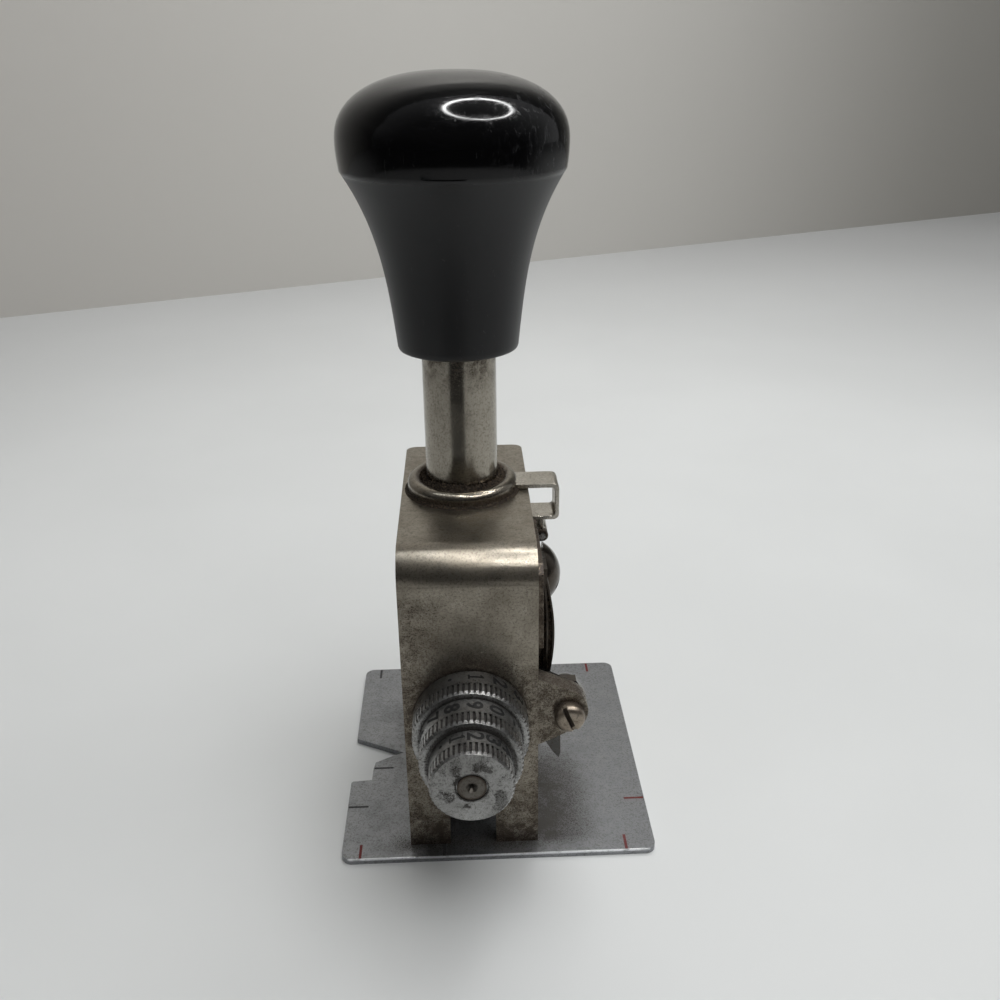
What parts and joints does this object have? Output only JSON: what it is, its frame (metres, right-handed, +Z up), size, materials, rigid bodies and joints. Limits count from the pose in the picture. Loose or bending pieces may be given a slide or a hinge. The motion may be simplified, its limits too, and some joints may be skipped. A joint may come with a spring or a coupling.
{
  "type": "hand numbering machine",
  "caption": "Palm-operated numbering stamp: press knob on a sprung plunger, stepped setting dials, type bands, swinging ink roller and sighting plate.",
  "frame": {"origin": "where the plunger axis meets the underside of the base plate, in the print window", "axes": "+Z up along the plunger, -Y towards the dials, -X towards the sighting notch"},
  "size_m": [0.0738, 0.0989, 0.17],
  "materials": {
    "plate_steel": "satin, speckled, bright edges",
    "screw_steel": "dull",
    "nickel_housing": "worn semi-polished nickel with brown specks",
    "nickel_bushing": "polished nickel, grime in the recess",
    "nickel_small": "worn nickel",
    "nickel_post": "polished nickel with dirt specks",
    "bright_steel": "turned, bright",
    "spring_steel": "dark, tempered",
    "arm_steel": "satin, oily",
    "head_steel": "satin",
    "dial_steel": "satin, knurled, black figures",
    "shaft_steel": "darkened",
    "knob_plastic": "glossy cap, satin scuffed neck",
    "ink_felt": "inked felt",
    "fibre_washer": "pressed fibre",
    "band_rubber": "matte moulded rubber"
  },
  "bodies": {
    "frame": {"base_plate": "plate_steel", "base_screws": "screw_steel", "front_strap": "nickel_housing", "left_side_plate": "nickel_housing", "right_side_plate": "nickel_housing", "rear_wall": "nickel_housing", "side_screws": "screw_steel", "guide_bushing": "nickel_bushing", "guide_rods": "bright_steel", "return_springs": "spring_steel", "side_bracket": "nickel_small", "domed_screw": "nickel_small", "domed_screw_nut": "screw_steel", "leaf_spring": "spring_steel", "catch_pin": "bright_steel", "pivot_screw": "nickel_small", "pivot_nut": "nickel_small"},
    "plunger": {"press_knob": "knob_plastic", "plunger_post": "nickel_post", "post_plug": "bright_steel", "yoke_screw": "screw_steel", "stop_washer": "fibre_washer", "head_yoke": "head_steel", "head_front_plate": "head_steel", "head_rear_plate": "head_steel", "head_screws": "screw_steel", "nose_bar": "bright_steel", "tie_rods": "bright_steel", "type_bands": "band_rubber", "detent_springs": "spring_steel", "drive_pin": "bright_steel"},
    "large_dial_set": {"large_dial": "dial_steel", "large_sleeve": "bright_steel", "large_drum": "head_steel"},
    "middle_dial_set": {"middle_dial": "dial_steel", "middle_sleeve": "bright_steel", "middle_drum": "head_steel"},
    "small_dial_set": {"small_dial": "dial_steel", "center_shaft": "shaft_steel", "small_drum": "head_steel", "shaft_clip": "spring_steel"},
    "inking_swing": {"inking_arm": "arm_steel", "roller_axle": "bright_steel", "axle_clip": "spring_steel"},
    "ink_roller": {"roller_core": "bright_steel", "roller_felt": "ink_felt"},
    "catch": {"finger_catch": "nickel_small"}
  },
  "joints": [
    {"name": "plunger_press", "type": "slide", "parent": "frame", "child": "plunger", "axis": [0, 0, -1], "range_m": [0, 0.02], "stiffness_N_per_m": 350, "springref_m": -0.02, "deforming": ["return_springs"]},
    {"name": "large_dial_turn", "type": "hinge", "parent": "plunger", "child": "large_dial_set", "pos_m": [0.0004, -0.03, 0.037], "axis": [0, -1, 0], "continuous": true},
    {"name": "middle_dial_turn", "type": "hinge", "parent": "plunger", "child": "middle_dial_set", "pos_m": [0.0004, -0.03, 0.037], "axis": [0, -1, 0], "continuous": true},
    {"name": "small_dial_turn", "type": "hinge", "parent": "plunger", "child": "small_dial_set", "pos_m": [0.0004, -0.03, 0.037], "axis": [0, -1, 0], "continuous": true},
    {"name": "inking_arm_swing", "type": "hinge", "parent": "frame", "child": "inking_swing", "pos_m": [0.0225, -0.031, 0.0374], "axis": [0, -1, 0], "range_deg": [0, 66.5]},
    {"name": "ink_roller_spin", "type": "hinge", "parent": "inking_swing", "child": "ink_roller", "pos_m": [0.0004, -0.0017, 0.0158], "axis": [0, 1, 0], "continuous": true},
    {"name": "catch_pull", "type": "hinge", "parent": "frame", "child": "catch", "pos_m": [0.0188, 0.0013, 0.066], "axis": [0, 1, 0], "range_deg": [0, 6], "stiffness_Nm_per_rad": 0.3, "springref_deg": -5.73}
  ],
  "couplings": [
    {"joint": "inking_arm_swing", "follows": "plunger_press", "rad_per_m": 57.88}
  ]
}
